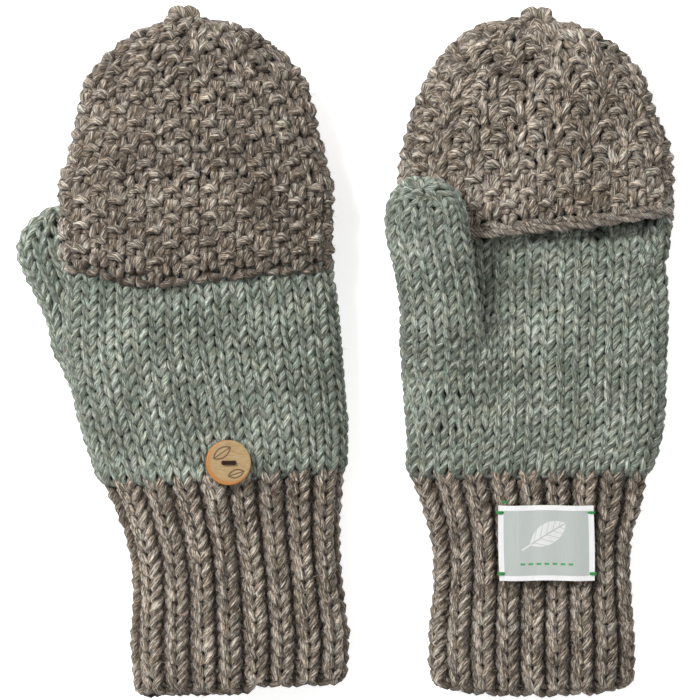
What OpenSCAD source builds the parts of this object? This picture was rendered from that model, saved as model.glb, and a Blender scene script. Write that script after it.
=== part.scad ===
// Convertible flip-top mittens: a knitted pair lying flat, side by side.
// The right-hand mitten lies palm down with its button showing, and leans on its thumb.
// The left-hand mitten lies palm up with its thumb over the palm and a label on its cuff.
// X runs across the pair, Y towards the fingertips and Z up from the surface.

/* [Pair] */
// Length of each mitten from hem to the tip of the cap
mitten_length = 266; // [262:1:270]
// Tilt of the right-hand mitten, which rests on its own thumb, in degrees
right_roll = 7.9; // [7.8:0.1:8]

/* [Knitted walls] */
// Thickness of the ribbed cuff
cuff_wall = 4; // [3:0.5:4.5]
// Thickness of the plain knitted hand
hand_wall = 3.5; // [2.5:0.5:4]
// Thickness of the moss stitch cap
cap_wall = 4; // [3.5:0.1:4]
// Thickness of the left thumb, which lies loose on the palm
left_thumb_wall = 3; // [2:0.5:3]
// Thickness of the right thumb, which is pressed flat under the hand
right_thumb_wall = 2; // [1.8:0.1:2.2]
// Thickness of the four finger tubes
finger_wall = 2.5; // [2:0.5:2.5]

/* [Cap] */
// Depth of the cap from its back to its palm side
cap_depth = 29; // [29:0.5:30]
// Diameter of the bound-off edge round the mouth of the cap
edging_d = 3.4; // [3:0.1:3.6]
// Diameter of the yarn that makes the button loop
loop_d = 3; // [2.5:0.1:3.2]
// Width of the button loop across its two legs
loop_width = 13; // [11:0.5:13]

/* [Button] */
// Diameter of the wooden button
button_d = 18; // [16:0.5:20]
// Thickness of the wooden button
button_t = 3.4; // [3:0.1:3.6]
// Diameter of each of its two holes
hole_d = 1.8; // [1.6:0.1:2.2]
// Distance between its two holes
hole_pitch = 4.2; // [3.8:0.1:5]

/* [Label] */
// Width of the woven label
label_w = 38; // [30:1:40]
// Height of the woven label
label_h = 30; // [24:1:31]
// Thickness of the woven label
label_t = 0.6; // [0.5:0.1:0.8]

/* [Hidden] */

moss = [0.52, 0.48, 0.44];
sage = [0.58, 0.65, 0.60];
wood = [0.80, 0.68, 0.47];
stitch_brown = [0.22, 0.12, 0.09];
label_white = [0.90, 0.90, 0.89];
stitch_green = [0.15, 0.55, 0.20];

// Every shape is drawn in the frame of its own mitten: X across with the thumb at the low side,
// Y towards the fingertips, and the third axis from the back of the hand to the palm.
right = 0;
left = 1;

// Places along the hand
cuff_top = -52;
knuckles = 32;           // where the cap is picked up on the back of the hand
hand_end = 46;           // where the four finger tubes start
cap_wide = 64;           // where the dome of the cap starts
cap_tip = mitten_length / 2 - 2;
hem = -mitten_length / 2 - 2.5;

// Depths from the back of the hand
back_depth = cap_wall + 0.5;
finger_palm_depth = 21;
lip_drop = 16;           // how far the lip of the cap starts beyond the knuckles
side_rise = 18;          // how far the sides of the mouth start beyond the knuckles

big = 28;                // points round a cuff, hand or cap
small = 20;               // points round a thumb
tiny = 16;               // points round a finger tube
flatness = 1.03;         // how soon a round side becomes a flat one

// How square the section of each piece is: 2 is an ellipse
body_square = 2.5;
thumb_square = 2.4;
cap_square = 3.3;

// Stations of each cuff and hand: [y, centre, half width, back depth, palm depth]
cuff_stations = [
    [[hem, -44.4, 42, 5.5, 27.5], [-118, -44.6, 44, 5, 28.5], [-96, -45.2, 41.6, 6, 28.5],
     [-80, -46.8, 42, 6.5, 28.5], [-66, -49, 44.6, 6.5, 28.5], [cuff_top, -52, 49.2, 6, 29]],
    [[hem, 73.6, 41, 0.5, 21], [-118, 73, 42, 0, 22], [-92, 73.2, 40.2, 0.5, 22],
     [-76, 72.8, 40.8, 2, 22.5], [-62, 72.8, 44.8, 4, 23], [cuff_top, 71.2, 49.2, 4.8, 24]]];
hand_stations = [
    [[cuff_top, -52, 49.2, 6, 29], [-34, -54, 53, 5.5, 29], [-16, -56.6, 54.8, 5, 28],
     [2, -59, 55.4, 4.7, 26.5], [20, -60.4, 54.6, back_depth, 24], [knuckles, -61.4, 53, back_depth, 22],
     [40, -61.8, 50.5, back_depth, finger_palm_depth], [hand_end, -62, 46.5, back_depth, finger_palm_depth]],
    [[cuff_top, 71.2, 49.2, 4.8, 24], [-34, 74, 51.6, 4.8, 24.5], [-16, 74.2, 53, 4.6, 24.5],
     [2, 73.8, 53.8, back_depth, 24.5], [20, 74.2, 54, back_depth, 23.5], [knuckles, 74.4, 53, back_depth, 22],
     [40, 74.5, 50.5, back_depth, finger_palm_depth], [hand_end, 74.6, 46.5, back_depth, finger_palm_depth]]];

// Cap of each mitten: [centre, half width]
cap_size = [[-62, 55.2], [74.6, 55.6]];

// Finger tubes: [offset from the centre of the hand, half width, half depth]
fingers = [[-33.2, 11.1, 6.5], [-10, 11.9, 7.8], [13.5, 11.4, 7.7], [34.7, 9.6, 6.3]];
finger_back_end = 56.5;
finger_palm_end = 49;

// Thumb of each mitten. It meets its gusset at y 0 and turns about the corner at its outer side.
thumb_corner = [-116, 20];
thumb_length = [61, 69];
thumb_splay = [11.5, 0];
thumb_half_depth = [5.8, 8];
thumb_base_depth = [31, 34];
thumb_tip_depth = [33.6, 36.8];
thumb_gap = 0.4;
thumb_core = 0.4;        // least half width of the cavity in a thumb
thumb_end_share = 1.2;   // how much thicker the closed end of a thumb is than its wall
thumb_curve_end = 0.6;   // share of the length over which a thumb rises to its final depth
thumb_wall = [right_thumb_wall, left_thumb_wall];
// Shape of a thumb: [share of its length, centre from its corner, half width, share of its half depth]
thumb_shape = [[0, 17.4, 17, 1], [0.18, 16.8, 16.8, 1], [0.36, 15.6, 17, 1], [0.58, 13.2, 17.8, 1],
               [0.76, 12, 17.2, 1], [0.87, 12, 14.6, 0.9], [0.95, 12, 10.4, 0.7], [1, 12, 4, 0.3]];

// Gusset between palm and thumb: [y, half width, half depth, depth], up to where the thumb takes over
gusset_stations = [[-46, 15, 7, 15], [-34, 16, 7.5, 18], [-22, 16.6, 8, 22], [-11, 17, 7, 26.5]];
gusset_lean = [0.26, 0]; // how far a gusset leans in towards the wrist, to stay inside the hand's edge
gusset_turn = 30;        // distance below the thumb over which the gusset takes up the thumb's splay

// Where each button and the label sit
button_at = [[-47.8, -44.8, 5.7], [77, -44.8, 5]];
shank_h = 0.7;
label_at = [78.4, -77];

// ---- shared shapes ----
function sgn_pow(v, e) = sign(v) * pow(abs(v), e);

// A point on a flattened ring, with a flat back and palm: angle 90 is the palm side and -90 the back
function rounded(angle, n) =
    let (across = sgn_pow(cos(angle), 2 / n), deep = sgn_pow(sin(angle), 2 / n))
        [across, max(-1, min(1, flatness * deep))];

function ring(y, centre, half, back, palm, count, n, inset = 0) =
    [for (k = [0:count - 1])
        let (p = rounded(360 * k / count, n))
            [centre + (half - inset) * p[0], y, (back + palm) / 2 + ((palm - back) / 2 - inset) * p[1]]];

// A smooth run of stations through the given ones
function between(a, b, c, d, t) =
    0.5 * (2 * b + (c - a) * t + (2 * a - 5 * b + 4 * c - d) * t * t + (3 * b - a - 3 * c + d) * t * t * t);

function smooth(list, steps) =
    let (last = len(list) - 1)
        [for (i = [0:last - 1], s = [0:steps - 1])
                between(list[max(i - 1, 0)], list[i], list[i + 1], list[min(i + 2, last)], s / steps),
            list[last]];

function turned_over(f, over) = over ? [for (i = [len(f) - 1:-1:0]) f[i]] : f;

function side_faces(rings, count, first, inside) =
    [for (i = [0:rings - 2], k = [0:count - 1])
        let (a = first + i * count + k, b = first + i * count + (k + 1) % count)
            for (f = [[a, b, b + count], [a, b + count, a + count]])
                turned_over(f, inside)];

function joining_faces(outer, inner, count, far) =
    [for (k = [0:count - 1])
        let (a = outer + k, b = outer + (k + 1) % count, c = inner + (k + 1) % count, d = inner + k)
            for (f = [[a, b, c], [a, c, d]])
                turned_over(f, !far)];

function end_face(first, count, far) = turned_over([for (k = [0:count - 1]) first + k], !far);

function flatten(lists) = [for (l = lists, p = l) p];

// A tube with a wall, open at its start, and open or closed at its end
module tube_of(outer, inner, closed = false) {
    count = len(outer[0]);
    rings = len(outer);
    inner_rings = len(inner);
    half = rings * count;
    outer_end = (rings - 1) * count;
    inner_end = half + (inner_rings - 1) * count;
    polyhedron(
        points = concat(flatten(outer), flatten(inner)),
        faces = concat(
            side_faces(rings, count, 0, false),
            side_faces(inner_rings, count, half, true),
            joining_faces(0, half, count, false),
            closed
                ? [end_face(outer_end, count, true), end_face(inner_end, count, false)]
                : joining_faces(outer_end, inner_end, count, true)),
        convexity = 8);
}

module solid_of(rings) {
    count = len(rings[0]);
    end = (len(rings) - 1) * count;
    polyhedron(
        points = flatten(rings),
        faces = concat(
            side_faces(len(rings), count, 0, false),
            [end_face(0, count, false), end_face(end, count, true)]),
        convexity = 6);
}

// A cord of round section along a path
function unit(v) = v / norm(v);

function cord_rings(path, d, count) =
    [for (i = [0:len(path) - 1])
        let (t = unit(path[min(i + 1, len(path) - 1)] - path[max(i - 1, 0)]),
             up = abs(t[2]) > 0.9 ? [0, 1, 0] : [0, 0, 1],
             a = unit(cross(t, up)),
             b = cross(a, t))
            [for (k = [0:count - 1])
                path[i] + d / 2 * (cos(360 * k / count) * a + sin(360 * k / count) * b)]];

module cord(path, d, count) solid_of(cord_rings(path, d, count));

// Stands a mitten on the surface: the left-hand one palm up, the right-hand one palm down
right_axis = -60;
right_lift = 32.9;
pair_middle = [-2.05, 1.45];
module stand(side)
    translate([-pair_middle[0], -pair_middle[1], 0])
        if (side == left)
            children();
        else
            translate([right_axis, 0, right_lift])
                rotate([0, right_roll, 0])
                    translate([-right_axis, 0, 0])
                        mirror([0, 0, 1])
                            children();

// ---- cuff and hand ----
function station_rings(list, n, inset) =
    [for (s = smooth(list, 2)) ring(s[0], s[1], s[2], s[3], s[4], big, n, inset)];

module cuff(side)
    color(moss)
        stand(side)
            tube_of(station_rings(cuff_stations[side], body_square, 0),
                    station_rings(cuff_stations[side], body_square, cuff_wall));

// The gusset swells out of the palm and ends in the ring that the thumb starts from
function gusset_rings(side, inset, extra) =
    let (x = thumb_corner[side] + thumb_shape[0][1], w = thumb_shape[0][2],
         d = thumb_base_depth[side], h = thumb_half_depth[side])
        [for (s = concat(gusset_stations, [[0, w, h, d]], extra > 0 ? [[extra, w, h, d]] : []))
            [for (p = ring(0, x - gusset_lean[side] * min(0, s[0]), s[1], s[3] - s[2], s[3] + s[2], small,
                           thumb_square, inset))
                turned([p[0], s[0], p[2]], side, max(0, 1 + s[0] / gusset_turn) * thumb_splay[side])]];

// Turns a point about the corner of the thumb
function turned(p, side, angle) =
    let (x = p[0] - thumb_corner[side], y = p[1])
        [thumb_corner[side] + x * cos(angle) - y * sin(angle), x * sin(angle) + y * cos(angle), p[2]];

module hand(side)
    color(sage)
        stand(side)
            difference() {
                union() {
                    solid_of(station_rings(hand_stations[side], body_square, 0));
                    solid_of(gusset_rings(side, 0, 0));
                }
                solid_of([for (r = station_rings(hand_stations[side], body_square, hand_wall))
                    [for (p = r) stretched(p)]]);
                solid_of(gusset_rings(side, thumb_wall[side], cut_through));
            }

// Takes the cavity of the hand just through both of its ends
cut_through = 0.5;
function stretched(p) =
    [p[0], p[1] <= cuff_top ? p[1] - cut_through : p[1] >= hand_end ? p[1] + cut_through : p[1], p[2]];

// ---- finger tubes ----
function finger_ring(side, f, t, inset) =
    let (centre = hand_stations[side][7][1] + f[0], mid = (back_depth + finger_palm_depth) / 2)
        [for (p = ring(0, centre, f[1], mid - f[2], mid + f[2], tiny, body_square, inset))
            let (share = (p[2] - back_depth) / (finger_palm_depth - back_depth),
                 end = finger_back_end + (finger_palm_end - finger_back_end) * share)
                [p[0], hand_end + (end - hand_end) * t, p[2]]];

module finger_tube(side, f)
    color(sage)
        stand(side)
            tube_of([for (t = [0, 1]) finger_ring(side, f, t, 0)],
                    [for (t = [0, 1]) finger_ring(side, f, t, finger_wall)]);

// ---- thumb ----
function thumb_ring(side, s, inset, short) =
    let (length = thumb_length[side] - thumb_gap - short,
         rise = thumb_tip_depth[side] - thumb_base_depth[side],
         depth = thumb_base_depth[side] + rise * min(1, s[0] / thumb_curve_end),
         h = max(thumb_half_depth[side] * s[3], inset + thumb_core),
         w = max(s[2], inset + thumb_core))
        [for (p = ring(0, thumb_corner[side] + s[1], w, depth - h, depth + h, small, thumb_square, inset))
            turned([p[0], thumb_gap + s[0] * length, p[2]], side, thumb_splay[side])];

module thumb(side)
    color(sage)
        stand(side)
            tube_of([for (s = thumb_shape) thumb_ring(side, s, 0, 0)],
                    [for (s = thumb_shape)
                        thumb_ring(side, s, thumb_wall[side], thumb_end_share * thumb_wall[side])],
                    closed = true);

// ---- cap ----
// The mouth is straight along the knuckles, rises at the sides and comes down to the lip
mouth_gap = 0.3;
function mouth(angle) =
    let (side_share = pow(abs(cos(angle)), 4))
        knuckles + mouth_gap + side_rise * side_share + lip_drop * (1 + sin(angle)) / 2 * (1 - side_share);

// From the mouth up to the dome t runs from -1 to 0, and over the dome from 0 to 1
dome_width = 2.2;
dome_depth = 2.8;
tip_half = [2.5, 1.5];
function cap_ring(side, t, inset) =
    let (c = cap_size[side], far = cap_tip - inset, dome = max(0, t),
         wide = pow(max(1 - pow(dome, dome_width), 0), 1 / dome_width),
         deep = pow(max(1 - pow(dome, dome_depth), 0), 1 / 2),
         half = max((c[1] - inset) * wide, tip_half[0]),
         high = max((cap_depth / 2 - inset) * deep, tip_half[1]))
        [for (k = [0:big - 1])
            let (a = 360 * k / big, p = rounded(a, cap_square), start = mouth(a))
                [c[0] + half * p[0],
                 t < 0 ? start + (cap_wide - start) * (1 + t) : cap_wide + (far - cap_wide) * dome,
                 cap_depth / 2 + high * p[1]]];

cap_steps = [-1, -0.5, 0, 0.22, 0.42, 0.6, 0.75, 0.86, 0.94, 0.985, 1];

module cap(side)
    color(moss)
        stand(side)
            tube_of([for (t = cap_steps) cap_ring(side, t, 0)],
                    [for (t = cap_steps) cap_ring(side, t, cap_wall)],
                    closed = true);

edging_gap = 0.9;
edging_end = 22;         // how far past the sides of the mouth the edging runs, in degrees
edging_step = 8;

// The bound-off edge runs round the mouth from one end of the knuckles, over the palm, to the other
function edging_point(side, angle) =
    let (c = cap_size[side], p = rounded(angle, cap_square))
        [c[0] + (c[1] - cap_wall / 2) * p[0], mouth(angle) - edging_d / 2 - edging_gap,
         cap_depth / 2 + (cap_depth / 2 - cap_wall / 2) * p[1]];

module cap_edging(side)
    color(moss)
        stand(side)
            cord([for (a = [180 + edging_end:-edging_step:-edging_end]) edging_point(side, a)], edging_d, 8);

// The button loop stands on the tip of the cap
loop_root = 0.9;
loop_offset = [-4.5, 2];
module loop(side)
    color(moss)
        stand(side)
            translate([cap_size[side][0] + loop_offset[side], cap_tip + loop_root, cap_depth / 2])
                intersection() {
                    rotate_extrude($fn = 48)
                        translate([(loop_width - loop_d) / 2, 0])
                            circle(d = loop_d, $fn = 24);
                    translate([-loop_width, 0, -loop_d])
                        cube([2 * loop_width, 2 * loop_width, 2 * loop_d]);
                }

// ---- button ----
edge_r = 0.6;
edge_steps = 4;
module button_profile()
    polygon(concat(
        [[0, 0]],
        [for (i = [0:edge_steps])
            let (a = -90 + 90 * i / edge_steps)
                [button_d / 2 - edge_r + edge_r * cos(a), edge_r + edge_r * sin(a)]],
        [for (i = [0:edge_steps])
            let (a = 90 * i / edge_steps)
                [button_d / 2 - edge_r + edge_r * cos(a), button_t - edge_r + edge_r * sin(a)]],
        [[0, button_t]]));

module button(side)
    color(wood)
        stand(side)
            translate([button_at[side][0], button_at[side][1], button_at[side][2] - shank_h - button_t])
                difference() {
                    rotate_extrude($fn = 96)
                        button_profile();
                    for (x = [-1, 1])
                        translate([x * hole_pitch / 2, 0, -1])
                            cylinder(h = button_t + 2, d = hole_d, $fn = 32);
                }

// Thread through both holes, a bar across the face and a short shank under the button
thread_gap = 0.1;        // room round each strand in its hole, and under the bar
shank_gap = 0.3;         // how far the shank stops short of the knitting
module button_thread(side) {
    strand = hole_d - 2 * thread_gap;
    face = button_at[side][2] - shank_h - button_t;
    bar = strand * 0.5;
    color(stitch_brown)
        stand(side)
            translate([button_at[side][0], button_at[side][1], 0]) {
                for (x = [-1, 1])
                    translate([x * hole_pitch / 2, 0, face - bar])
                        cylinder(h = button_t + bar + shank_h - shank_gap, d = strand, $fn = 32);
                translate([-hole_pitch / 2, -strand / 2, face - bar])
                    cube([hole_pitch, strand, bar - thread_gap]);
            }
}

// ---- label ----
// Depth of the palm side of the left cuff at a distance from its centre
function cuff_palm(x) =
    let (s = cuff_stations[left][4], share = abs(x - s[1]) / s[2])
        (s[3] + s[4]) / 2 + (s[4] - s[3]) / 2 * min(1, flatness * pow(1 - pow(share, body_square), 1 / body_square));

label_lift = 0.5;
module label() {
    columns = 10;
    xs = [for (i = [0:columns]) -label_w / 2 + label_w * i / columns];
    color(label_white)
        stand(left)
            translate([0, label_at[1] + label_h / 2, 0])
                rotate([90, 0, 0])
                    linear_extrude(label_h)
                        polygon(concat(
                            [for (x = xs) [label_at[0] + x, cuff_palm(label_at[0] + x) + label_lift]],
                            [for (i = [columns:-1:0])
                                [label_at[0] + xs[i], cuff_palm(label_at[0] + xs[i]) + label_lift + label_t]]));
}

tack_length = 4;
tack_d = 0.8;
tack_inset = 3;          // distance of each tack from the top and bottom of the label
tack_lift = 0.25;        // room between a tack and the label
module label_stitches()
    color(stitch_green)
        stand(left)
            for (x = [-1, 1], y = [-1, 1]) {
                edge = label_at[0] + x * label_w / 2;
                translate([edge - tack_length / 2, label_at[1] + y * (label_h / 2 - tack_inset),
                           cuff_palm(edge) + label_lift + label_t + tack_d / 2 + tack_lift])
                    rotate([0, 90, 0])
                        cylinder(h = tack_length, d = tack_d, $fn = 24);
            }

cuff(right);  // right_cuff
hand(right);  // right_hand
finger_tube(right, fingers[0]);  // right_index_tube
finger_tube(right, fingers[1]);  // right_middle_tube
finger_tube(right, fingers[2]);  // right_ring_tube
finger_tube(right, fingers[3]);  // right_little_tube
thumb(right);  // right_thumb
cap(right);  // right_cap
cap_edging(right);  // right_cap_edging
loop(right);  // right_loop
button(right);  // right_button
button_thread(right);  // right_button_thread
cuff(left);  // left_cuff
hand(left);  // left_hand
finger_tube(left, fingers[0]);  // left_index_tube
finger_tube(left, fingers[1]);  // left_middle_tube
finger_tube(left, fingers[2]);  // left_ring_tube
finger_tube(left, fingers[3]);  // left_little_tube
thumb(left);  // left_thumb
cap(left);  // left_cap
cap_edging(left);  // left_cap_edging
loop(left);  // left_loop
button(left);  // left_button
button_thread(left);  // left_button_thread
label();
label_stitches();
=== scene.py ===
"""Looks for the knitted convertible mittens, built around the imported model.

Lengths are in mm until a mesh is made. A mitten's own coordinates run across it, along it and in depth
from the back of the hand, and stand() puts them in the model's frame.
"""

import math

import bpy
import numpy as np
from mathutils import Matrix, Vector


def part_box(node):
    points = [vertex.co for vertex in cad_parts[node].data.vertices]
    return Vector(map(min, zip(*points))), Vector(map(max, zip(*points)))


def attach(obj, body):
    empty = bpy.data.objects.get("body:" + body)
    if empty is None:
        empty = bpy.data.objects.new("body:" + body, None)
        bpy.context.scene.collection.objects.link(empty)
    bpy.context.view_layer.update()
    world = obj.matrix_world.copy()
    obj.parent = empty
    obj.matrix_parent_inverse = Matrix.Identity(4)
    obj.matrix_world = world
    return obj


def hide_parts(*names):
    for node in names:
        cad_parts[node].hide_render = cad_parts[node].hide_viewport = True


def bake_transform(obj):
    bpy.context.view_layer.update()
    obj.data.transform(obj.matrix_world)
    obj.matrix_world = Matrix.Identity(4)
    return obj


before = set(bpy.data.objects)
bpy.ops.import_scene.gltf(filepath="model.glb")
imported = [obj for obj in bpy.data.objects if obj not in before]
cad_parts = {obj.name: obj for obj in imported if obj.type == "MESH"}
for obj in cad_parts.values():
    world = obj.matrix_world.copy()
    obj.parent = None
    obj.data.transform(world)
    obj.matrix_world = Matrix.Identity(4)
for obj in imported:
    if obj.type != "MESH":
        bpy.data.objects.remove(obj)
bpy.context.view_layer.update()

MM = 0.001
RIGHT, LEFT = 0, 1
SIDE_NAMES = ("right", "left")

# ---- where the mittens lie, as in the CAD. Pairs of values are for the right and the left mitten ----
ROLL = math.radians(7.9)
ROLL_AXIS = -60.0
ROLL_LIFT = 32.9
PAIR_MIDDLE = (-2.05, 1.45)
FLATNESS = 1.03             # above 1, a ring is cut flat on its back and palm
CAP_CENTRE = (-59.6, 74.6)
CAP_HALF = (55.2, 55.6)
CAP_DEPTH = 29.0
CAP_TIP = 131.0
CAP_WIDE = 64.0             # where the cap starts to narrow
KNUCKLES = 32.0
BUTTON_AT = ((-47.8, -44.8, 5.7), (77.0, -44.8, 5.0))
LABEL_AT = (78.4, -77.0)
LABEL_W, LABEL_H, LABEL_T = 38.0, 30.0, 0.6

# Stations along each cuff and hand: y, centre, half width, back depth, palm depth
CUFF = (
    ((-139, -41.6, 42.6, 5.5, 27.5), (-118, -41.4, 44.6, 5, 28.5), (-96, -42.2, 43.0, 6, 28.5),
     (-80, -43.6, 43.2, 6.5, 28.5), (-66, -45.8, 45.6, 6.5, 28.5), (-46, -48.8, 50.6, 6, 29)),
    ((-139, 73.6, 41, 0.5, 21), (-118, 73, 42, 0, 22), (-92, 73.2, 40.2, 0.5, 22),
     (-76, 72.8, 40.8, 2, 22.5), (-62, 72.8, 44.8, 4, 23), (-46, 71.2, 49.2, 4.8, 24)),
)
HAND = (
    ((-56, -48.0, 49.2, 6, 29), (-52, -48.6, 50.0, 6, 29), (-34, -51.4, 53.4, 5.5, 29),
     (-16, -54.2, 55.0, 5, 28), (2, -56.6, 55.8, 4.7, 26.5), (20, -57.4, 54.8, 4.5, 24),
     (32, -58.6, 53.6, 4.5, 22), (40, -59.4, 51.5, 4.5, 21), (46, -60, 48.5, 4.5, 21)),
    ((-56, 70.8, 48.2, 4.8, 24), (-52, 71.2, 49.2, 4.8, 24), (-34, 74, 51.6, 4.8, 24.5),
     (-16, 74.2, 53, 4.6, 24.5), (2, 73.8, 53.8, 4.5, 24.5), (20, 74.2, 54, 4.5, 23.5),
     (32, 74.4, 53, 4.5, 22), (40, 74.5, 50.5, 4.5, 21), (46, 74.6, 46.5, 4.5, 21)),
)


def stand(side, points):
    """A mitten's own coordinates to the model's frame: the right mitten lies palm down and leans."""
    p = np.asarray(points, float)
    out = np.empty_like(p)
    if side == LEFT:
        out[...] = p
    else:
        c, s = math.cos(ROLL), math.sin(ROLL)
        x, z = p[..., 0] - ROLL_AXIS, -p[..., 2]
        out[..., 0] = x * c + z * s + ROLL_AXIS
        out[..., 1] = p[..., 1]
        out[..., 2] = -x * s + z * c + ROLL_LIFT
    out[..., 0] -= PAIR_MIDDLE[0]
    out[..., 1] -= PAIR_MIDDLE[1]
    return out


def turn_only(side, directions):
    """Directions in a mitten's own coordinates to the model's frame."""
    return stand(side, directions) - stand(side, np.zeros(3))


def catmull(stations, steps=10):
    """A smooth curve through the stations."""
    s = np.asarray(stations, float)
    a = np.vstack([s[:1], s[:-1]])[:-1]
    b, c = s[:-1], s[1:]
    d = np.vstack([s[2:], s[-1:]])
    out = []
    for i in range(len(b)):
        for k in range(steps):
            t = k / steps
            out.append(0.5 * (2 * b[i] + (c[i] - a[i]) * t + (2 * a[i] - 5 * b[i] + 4 * c[i] - d[i]) * t * t
                              + (3 * b[i] - a[i] - 3 * c[i] + d[i]) * t ** 3))
    out.append(s[-1])
    return np.array(out)


def columns_at(at, table, columns):
    """Values of a table's columns where its first column is at."""
    return [np.interp(at, table[:, 0], table[:, c]) for c in columns]


def smoothstep(a, b, x):
    t = np.clip((x - a) / (b - a), 0, 1)
    return t * t * (3 - 2 * t)


def power(v, e):
    return np.sign(v) * np.abs(v) ** e


def unit(v):
    return v / np.maximum(np.linalg.norm(v, axis=-1, keepdims=True), 1e-9)


def across_path(normals, tangents):
    """Two directions across a path: the normals squared up to it, and the third one."""
    a = unit(normals - (normals * tangents).sum(1, keepdims=True) * tangents)
    return a, np.cross(tangents, a)


def travelled(points):
    """Distance along a line of points, from 0 at the first."""
    return np.concatenate([[0], np.cumsum(np.linalg.norm(np.diff(points, axis=0), axis=1))])


def resample(at, along, points):
    return np.stack([np.interp(at, along, points[:, c]) for c in range(3)], axis=1)


# ---- surfaces that the knitting follows ----
class Surface:
    """A grid of points, u round the piece (periodic) and v along it, with outward normals.

    Rows are spaced evenly along the piece: by their mean gap, or, for the share called middle, by the
    gaps at the middles of its back and palm.
    """

    def __init__(self, grid, middle=0.0):
        gaps = np.linalg.norm(np.diff(grid, axis=0), axis=2)
        quarter = grid.shape[1] // 4
        steps = (1 - middle) * gaps.mean(axis=1) + middle * 0.5 * (gaps[:, quarter] + gaps[:, 3 * quarter])
        along = np.concatenate([[0], np.cumsum(steps)])
        index = np.interp(np.linspace(0, along[-1], len(grid)), along, np.arange(len(grid)))
        low = np.clip(np.floor(index).astype(int), 0, len(grid) - 2)
        f = (index - low)[:, None, None]
        self.p = grid[low] * (1 - f) + grid[low + 1] * f
        self.length = along[-1]
        du = np.roll(self.p, -1, 1) - np.roll(self.p, 1, 1)
        n = unit(np.cross(du, np.gradient(self.p, axis=0)))
        centres = self.p.mean(axis=1, keepdims=True)
        self.n = n * np.sign(((self.p - centres) * n).sum(axis=2).mean())

    def at(self, u, v):
        """Points and normals at u and v."""
        rows, cols = self.p.shape[:2]
        uu = np.mod(u, 1.0) * cols
        i = np.floor(uu).astype(int)
        fu = (uu - i)[..., None]
        i0, i1 = i % cols, (i + 1) % cols
        vv = v * (rows - 1)
        j = np.clip(np.floor(vv).astype(int), 0, rows - 2)
        fv = (vv - j)[..., None]

        def mix(g, f):
            low = g[j, i0] * (1 - fu) + g[j, i1] * fu
            high = g[j + 1, i0] * (1 - fu) + g[j + 1, i1] * fu
            return low * (1 - f) + high * f

        return mix(self.p, fv), unit(mix(self.n, np.clip(fv, 0, 1)))

    def girth(self, v):
        ring = self.p[int(np.clip(round(v * (len(self.p) - 1)), 0, len(self.p) - 1))]
        return np.linalg.norm(np.roll(ring, -1, 0) - ring, axis=1).sum()


RING = 272                  # points round a surface
FINE = 1440                 # steps that measure a ring before it is spaced evenly


def ring_shares(a, n):
    """Shares of the half width and of the half depth at angles round a flattened superellipse."""
    return power(np.cos(a), 2 / n), np.clip(FLATNESS * power(np.sin(a), 2 / n), -1, 1)


def even_angles(half, deep, n):
    """Angles of points spaced evenly round a flattened ring, from the thumb side over the palm."""
    a = math.pi - np.linspace(0, 2 * math.pi, FINE + 1)
    sx, sz = ring_shares(a, n)
    d = np.concatenate([[0], np.cumsum(np.hypot(np.diff(half * sx), np.diff(deep * sz)))])
    return np.interp(np.arange(RING) / RING * d[-1], d, a)


HAND_COUNT, HAND_ROWS = 34, 21
GUSSET_BASE = 7             # columns between the thumb's side and the gusset's palm edge
GUSSET_SHARE = -0.22        # where that edge lies across the hand
GUSSET_FADE = (15, 27)      # how wide the ridge's slope is at that edge
GUSSET_Y = (-60, -46, -30, -15, 0, 7, 14, 60)
GUSSET_LIFT = ((0, 0, 0.5, 5.0, 10.0, 10.6, 0, 0), (0, 0.4, 3.0, 6.6, 10.4, 11.2, 0, 0))
GUSSET_EDGE = ((-98, -94, -84, -78, -75, -74, -74, -74), (44, 48, 56, 63, 67, 66, 60, 60))
DIMPLE, DIMPLE_REACH = 0.9, 11.0    # how far, and how far round it, the button presses the knitting in
PALM_WIDE = (54.0, 54.6)    # half width that the palm side keeps up to the lip


def gusset_rise(side, x, y):
    """How far the gusset lifts the palm: a ridge that grows towards the thumb and ends behind it."""
    top = np.interp(y, GUSSET_Y, GUSSET_LIFT[side])
    end = np.interp(y, GUSSET_Y, GUSSET_EDGE[side])
    return top * (1 - smoothstep(end - GUSSET_FADE[side], end, x))


def hand_ring(side, ring, sx, sz, y):
    """A ring of the hand with its gusset, the button's dimple and a palm that stays wide up to the lip."""
    ring = ring.copy()
    palm = np.clip(sz, 0, 1)
    ring[:, 2] += gusset_rise(side, ring[:, 0], y) * palm ** 0.6
    bx, by, _ = BUTTON_AT[side]
    near = np.exp(-(((ring[:, 0] - bx) ** 2 + (ring[:, 1] - by) ** 2) / DIMPLE_REACH ** 2) ** 2)
    ring[:, 2] += DIMPLE * near * (sz < 0)
    centre = np.interp(y, [st[0] for st in HAND[side]], [st[1] for st in HAND[side]])
    wide = centre + PALM_WIDE[side] * sx * (1 - 0.03 * palm)
    share = smoothstep(26, 34, y) * smoothstep(-0.15, 0.35, sz)
    ring[:, 0] = ring[:, 0] * (1 - share) + wide * share
    return ring


def two_arcs(ring, split, first):
    """A ring's points again: first of them spaced evenly up to split, the rest evenly back to the start."""
    closed = np.vstack([ring, ring[:1]])
    d = travelled(closed)
    at = np.concatenate([np.arange(first) / first * d[split],
                         d[split] + np.arange(RING - first) / (RING - first) * (d[-1] - d[split])])
    return resample(at, d, closed)


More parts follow.
